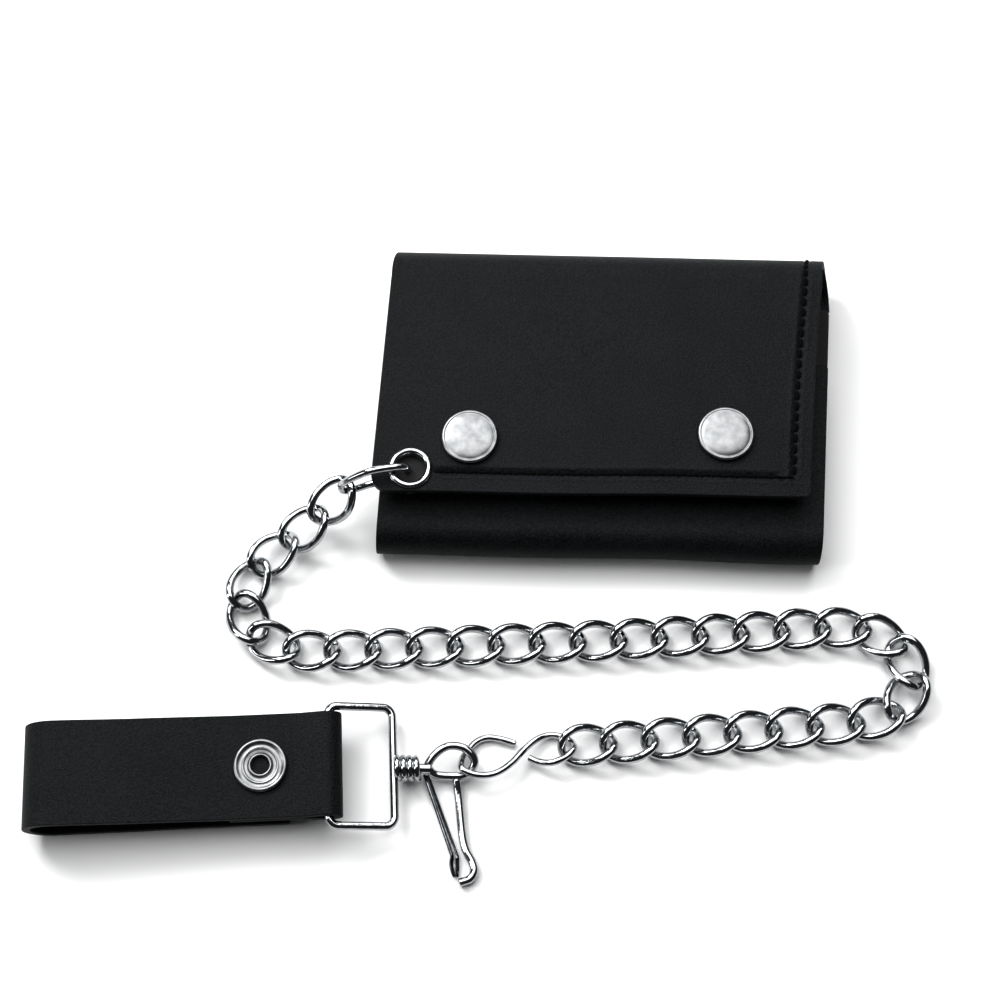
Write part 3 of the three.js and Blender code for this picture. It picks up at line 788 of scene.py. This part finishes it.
def standing_line(t):
    """The first link stands on edge, and is bent down past the flap's edge."""
    along, height = oval(t, 0.7, 0.7)
    share = min(max((along + 0.1) / 1.3, 0.0), 1.0)
    bend = FIRST_LINK["drop"] * share * share * (3 - 2 * share)
    return Vector((FIRST_LINK["half_length"] * along, 0, FIRST_LINK["half_width"] * height - bend))


def ring_of(line, radius, steps=64):
    """A closed wire along line(t), from a torus whose every section is moved onto the line."""
    tube = 0.25
    deselect()
    bpy.ops.mesh.primitive_torus_add(
        major_segments=steps, minor_segments=16, major_radius=1.0, minor_radius=tube)
    piece = bpy.context.object
    for vertex in piece.data.vertices:
        t = (atan2(vertex.co.y, vertex.co.x) / (2 * pi)) % 1.0
        out = (hypot(vertex.co.x, vertex.co.y) - 1.0) / tube
        up = vertex.co.z / tube
        middle = line(t)
        along = (line(t + 0.006) - line(t - 0.006)).normalized()
        outward = middle - along * middle.dot(along)
        outward.normalize()
        rise = outward.cross(along)
        vertex.co = (middle + (outward * out + rise * up) * radius) * MM
    turn_faces(piece, bpy.ops.mesh.normals_make_consistent, inside=False)
    return piece


def link_place(node):
    """Where a link lies: its middle, and its long, wide and thin directions, from its CAD node."""
    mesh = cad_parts[node].data
    points = np.unique(np.round([vertex.co[:] for vertex in mesh.vertices], 6), axis=0)
    middle = points.mean(axis=0)
    _, directions = np.linalg.eigh(np.cov((points - middle).T))
    along, across = Vector(directions[:, 2]), Vector(directions[:, 1])
    turn = Matrix((along, across, along.cross(across))).transposed()
    return Matrix.Translation(middle) @ turn.to_4x4()


def chain():
    """The curb links, each a copy of one model laid where its CAD node lies."""
    model = ring_of(curb_line, LINK["wire"])
    for number in range(2, LINK_COUNT + 1):
        node = f"link_{number:02d}"
        link = model.copy()
        link.data = model.data.copy()
        bpy.context.collection.objects.link(link)
        link.data.transform(link_place(node))
        finish_piece(link, f"{node}_wire", wire_metal, node, "steel", node, angle=80)
    bpy.data.objects.remove(model)


def first_link():
    """The link through the eyelet, pointing the way that the chain leaves the flap."""
    outward = Vector((-0.977, -0.211, 0)).normalized()
    across = Vector((0, 0, 1)).cross(outward)
    x, y = centre_of("eyelet")
    middle = Vector((x, y, FIRST_LINK["height"])) + outward * (FIRST_LINK["half_length"] + 0.7)
    turn = Matrix((outward, across, Vector((0, 0, 1)))).transposed()
    link = ring_of(standing_line, FIRST_LINK["wire"], 80)
    link.data.transform(Matrix.Translation(middle * MM) @ turn.to_4x4())
    finish_piece(link, "link_01_wire", wire_metal, "link_01", "steel", "link_01", angle=80)


# ------------------------------------------------------------------ hook, clip and ring


def s_hook():
    """The S hook, one wire with an open end at each side."""
    line = rounded_ends(route_through(HOOK_ROUTE), HOOK_WIRE)
    hook = wire(line, HOOK_WIRE, taper=True)
    finish_piece(hook, "hook_wire", wire_metal, "s_hook", "steel", "s_hook", angle=50)


def clip():
    """The clip's eye, its stem through the neck, and its long leg."""
    eye = wire(route_through(EYE_ROUTE, closed=True), CLIP_WIRE, closed=True)
    stem = wire([(x, NECK["y"], NECK["z"]) for x in (-49.6, -49.3, -42.0)], STEM_RADIUS)
    leg = wire(rounded_ends(route_through(LEG_ROUTE), CLIP_WIRE), CLIP_WIRE, taper=True)
    piece = joined(eye, stem, leg)
    finish_piece(piece, "clip_eye_and_leg", wire_metal, "clip", "steel", "clip_wire", angle=50)


def clip_lever():
    """The flat spring leg: a strip that widens to a spoon, slightly hollow along its middle."""
    (root_x, root_y), (tip_x, tip_y) = LEVER["root"], LEVER["tip"]

    def place(u, v):
        side = 2 * u - 1
        if v <= LEVER["strip_share"]:
            share = v / LEVER["strip_share"]
            x, y = root_x + (tip_x - root_x) * share, root_y + (tip_y - root_y) * share
            half = 0.52 + 0.3 * share
        else:
            share = (v - LEVER["strip_share"]) / (1 - LEVER["strip_share"])
            swell = sin(pi * share**0.8)
            x, y = tip_x + 0.15 - 0.25 * swell + 0.35 * share, tip_y - LEVER["spoon"] * share
            half = 0.82 + 0.22 * swell - 0.42 * share**4
        height = 1.15 + 0.45 * side * side - 0.1 * v
        return x + side * half, y, height

    piece = sheet(spaced(0, 1, 8) + [1.0], spaced(0, 1, 50) + [1.0], place)
    turn_faces(piece, bpy.ops.mesh.normals_make_consistent, inside=False)
    thicken(piece, 0.6, 0.16, offset=0.0)
    finish_piece(piece, "lever_strip", strip_metal, "clip_lever", "steel", "clip_lever")


def swivel_ring():
    """The rectangular ring, tilted from the strap down to the neck, and its wire ends' coil."""
    corner, half_width, half_length = RING["corner"], RING["half_width"], RING["half_length"]
    outline = []
    for x_side, y_side, start in ((1, 1, 0), (-1, 1, 90), (-1, -1, 180), (1, -1, 270)):
        middle = (x_side * (half_width - corner), y_side * (half_length - corner))
        outline += arc(middle, corner, start, start + 90, 9)
    tilt = Matrix.Rotation(asin((BAR_HEIGHT - NECK["z"]) / (2 * half_width)), 3, "Y")
    turn = Matrix.Rotation(STRAP_TURN, 3, "Z")
    origin = Vector((*STRAP_AT, BAR_HEIGHT))
    points = [origin + turn @ (tilt @ Vector((x + half_width, y, 0))) for x, y in outline]
    ring = wire(points, RING["wire"], closed=True)
    coil_points = []
    for step in range(COIL_STEPS + 1):
        share = step / COIL_STEPS
        angle = 2 * pi * NECK["turns"] * share
        x = NECK["left"] + (NECK["right"] - NECK["left"]) * share
        y, z = NECK["y"] + NECK["radius"] * cos(angle), NECK["z"] + NECK["radius"] * sin(angle)
        coil_points.append((x, y, z))
    coil = wire(coil_points, NECK["wire"])
    piece = joined(ring, coil)
    finish_piece(piece, "ring_and_neck", wire_metal, "swivel_ring", "steel", "swivel_ring", angle=50)


# ------------------------------------------------------------------ belt strap


def strap_line():
    """The strap's middle line, from its folded end round the ring's bar and the loop to its tail."""
    line = [(-24.0 + 1.5 * step, 8.1) for step in range(12)]
    line += arc((0, BAR_HEIGHT), 2.5, -98, 98, 18)
    line += [(-6.5 - 2.5 * step, 10.4) for step in range(7)]
    line += [(-24.0 - 6.1 * step, 10.4 + 0.3714 * step) for step in range(8)]
    line += arc((-67, 7), 6, 96, 270, 26)
    line += [(-61 + 6.1 * step, 1.2 + 0.215 * step) for step in range(7)]
    line += [(-22.0 + 2.0 * step, 2.5) for step in range(6)]
    return line + [(-10.6, 2.5), (-10.2, 2.5), (-9.9, 2.5)]


def strap_leather():
    """The whole strap, one leather from its folded end to its tail."""
    line = strap_line()
    turn = Matrix.Rotation(STRAP_TURN, 3, "Z")
    origin = Vector((*STRAP_AT, 0))
    columns = [-1, -0.985, -0.96] + spaced(-0.9, 0.9, 14) + [0.9, 0.96, 0.985, 1]

    def place(u, row):
        x, z = line[row]
        y = u * STRAP_HALF_WIDTH + 0.12 * noise.noise(Vector((x / 14, u, 2.0)))
        return origin + turn @ Vector((x, y, z + 0.05 * noise.noise(Vector((x / 9, y / 9, 7.0)))))

    piece = sheet(columns, list(range(len(line))), place)
    thicken(piece, LEATHER * 0.97, 0.5, offset=0.0)
    finish_piece(piece, "strap_leather", leather, None, "leather", "strap_top", "strap_loop", "strap_tail")
    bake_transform(piece)


# ------------------------------------------------------------------ stage, camera and light


def floor():
    """The table, just under the part."""
    deselect()
    bpy.ops.mesh.primitive_plane_add(size=6, location=(0, 0, cad_box[0][2] - 0.0001))
    plane = bpy.context.object
    plane.name = "floor"
    plane.data.materials.append(pale_floor("pale_floor"))


def camera():
    """Looks down on the part from in front, with the image's sides kept upright."""
    deselect()
    bpy.ops.object.camera_add(location=(-0.0225, -0.1926, 0.4873))
    eye = bpy.context.object
    eye.data.lens = 72
    eye.data.sensor_width = 36
    target = Vector((-0.0266, -0.0236, 0.010))
    direction = (eye.location - target).normalized()
    right = Vector((0, 0, 1)).cross(direction).normalized()
    up = direction.cross(right)
    turn = Matrix((right, up, direction)).transposed().to_4x4()
    eye.matrix_world = Matrix.Translation(eye.location) @ turn
    eye.data.clip_start = 0.01
    bpy.context.scene.camera = eye


def softbox(name, location, target, size, power):
    """A rectangular lamp that faces its target."""
    deselect()
    bpy.ops.object.light_add(type="AREA", location=location)
    lamp = bpy.context.object
    lamp.name = name
    lamp.data.shape = "RECTANGLE"
    lamp.data.size, lamp.data.size_y = size
    lamp.data.energy = power
    direction = Vector(location) - Vector(target)
    lamp.rotation_euler = direction.to_track_quat("Z", "Y").to_euler()


def lights():
    """Four soft lamps in a nearly dark room."""
    world = bpy.data.worlds.new("studio")
    bpy.context.scene.world = world
    world.use_nodes = True
    background = world.node_tree.nodes["Background"]
    background.inputs["Color"].default_value = (0.05, 0.052, 0.055, 1)
    middle = (-0.02, -0.03, 0)
    softbox("overhead", (-0.12, 0.42, 1.05), middle, (1.5, 1.1), 18)
    softbox("key", (-0.62, 0.55, 0.75), middle, (0.4, 0.4), 7)
    softbox("back", (0.15, 0.95, 0.55), middle, (1.1, 0.2), 4)
    softbox("left", (-0.95, -0.2, 0.5), middle, (0.25, 0.6), 3)
    bpy.context.scene.view_settings.view_transform = "Standard"
    bpy.context.scene.view_settings.gamma = 0.80


# ------------------------------------------------------------------ the whole scene

camera()
lights()
floor()
flap_leather()
flap_stitches()
flap_ply()
lower_leather()
wallet_plies()
snap_caps()
snap_sockets()
snap_studs()
eyelet()
chain()
first_link()
s_hook()
clip()
clip_lever()
swivel_ring()
strap_leather()
strap_snap()
bpy.context.view_layer.update()
